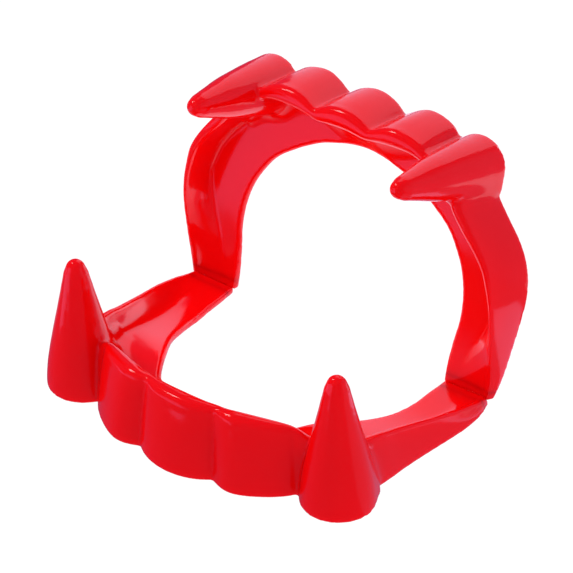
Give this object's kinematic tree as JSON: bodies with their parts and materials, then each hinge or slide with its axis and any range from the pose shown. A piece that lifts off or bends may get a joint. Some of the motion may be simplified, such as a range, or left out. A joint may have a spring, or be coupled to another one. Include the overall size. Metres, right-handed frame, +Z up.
{
  "type": "vampire fang denture",
  "caption": "Costume mouthpiece: two toothed arches with a band along the gums, long fangs at the corners, hinged together at the ends of their arms.",
  "frame": {"origin": "on the lower jaw's gum face, under the middle tooth of the front", "axes": "+X to the right as seen from the front and along the width, -Y towards the front, +Z up from the gum face the part lies on"},
  "size_m": [0.0604, 0.0512, 0.0412],
  "materials": {
    "red_plastic": "glossy"
  },
  "bodies": {
    "lower": {"lower_jaw": "red_plastic", "hinge_web_left": "red_plastic", "hinge_web_right": "red_plastic"},
    "upper": {"upper_jaw": "red_plastic"}
  },
  "joints": [
    {"name": "jaw_hinge", "type": "hinge", "parent": "lower", "child": "upper", "pos_m": [0, 0.0391, 0.00105], "axis": [-1, 0, 0], "range_deg": [-55, 70]}
  ]
}
